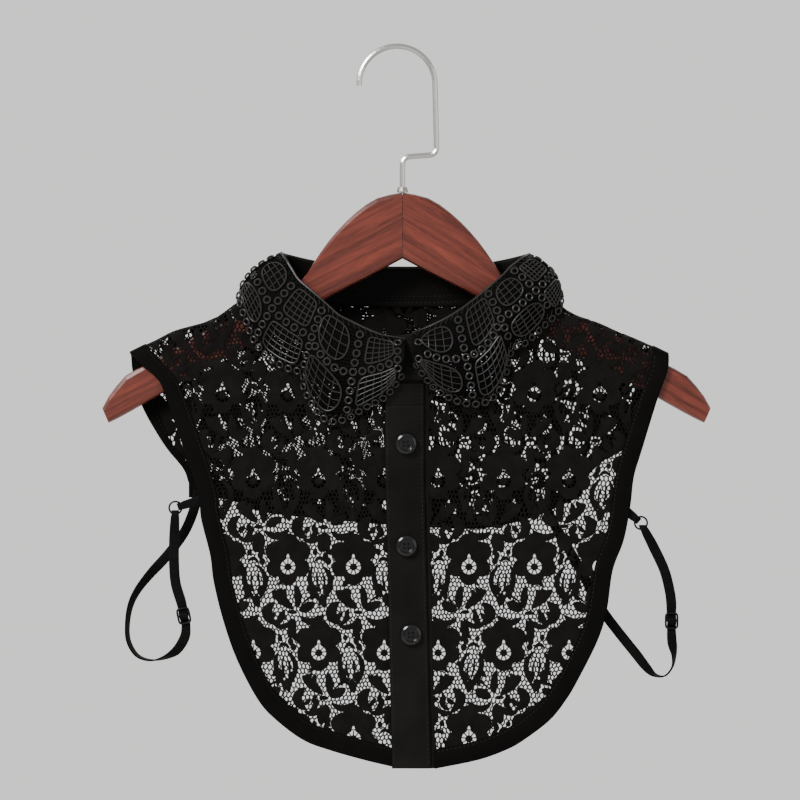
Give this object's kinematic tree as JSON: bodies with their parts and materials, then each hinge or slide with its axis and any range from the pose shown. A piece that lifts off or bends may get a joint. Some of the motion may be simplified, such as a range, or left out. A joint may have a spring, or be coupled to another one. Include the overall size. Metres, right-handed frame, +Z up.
{
  "type": "lace false collar on a coat hanger",
  "caption": "Black lace dickey with a scalloped cord-lace collar, buttoned front, open sides and elastic side straps, hanging on a wooden hanger with a metal hook.",
  "frame": {"origin": "inside top of the hanger's hook, where it rests on a rail", "axes": "+Z up, the front of the garment faces -Y, +X to the viewer's right of the front"},
  "size_m": [0.378, 0.0655, 0.4507],
  "materials": {
    "lace": "black net lace, matt",
    "cord_lace": "black cord lace, matt",
    "plain_cloth": "black plain woven cloth, slight sheen",
    "tape": "black folded tape, matt",
    "elastic": "black elastic band, matt",
    "button": "polished black",
    "trim": "black gloss",
    "wood": "dark red-brown varnish",
    "steel": "bright plated wire"
  },
  "bodies": {
    "root": {"front_left": "lace", "front_right": "lace", "back": "lace", "collar_stand": "plain_cloth", "collar_fall": "cord_lace", "placket_upper": "plain_cloth", "placket_under": "plain_cloth", "binding_front_left": "tape", "binding_front_right": "tape", "binding_back_left": "tape", "binding_back_right": "tape", "binding_back_hem": "tape", "button_1": "button", "button_2": "button", "button_3": "button", "strap_left": "elastic", "strap_right": "elastic", "tab_left": "elastic", "tab_right": "elastic", "ring_left": "trim", "ring_right": "trim", "slider_left": "trim", "slider_right": "trim", "arm_left": "wood", "arm_right": "wood", "hook": "steel", "ferrule": "steel"}
  },
  "joints": []
}
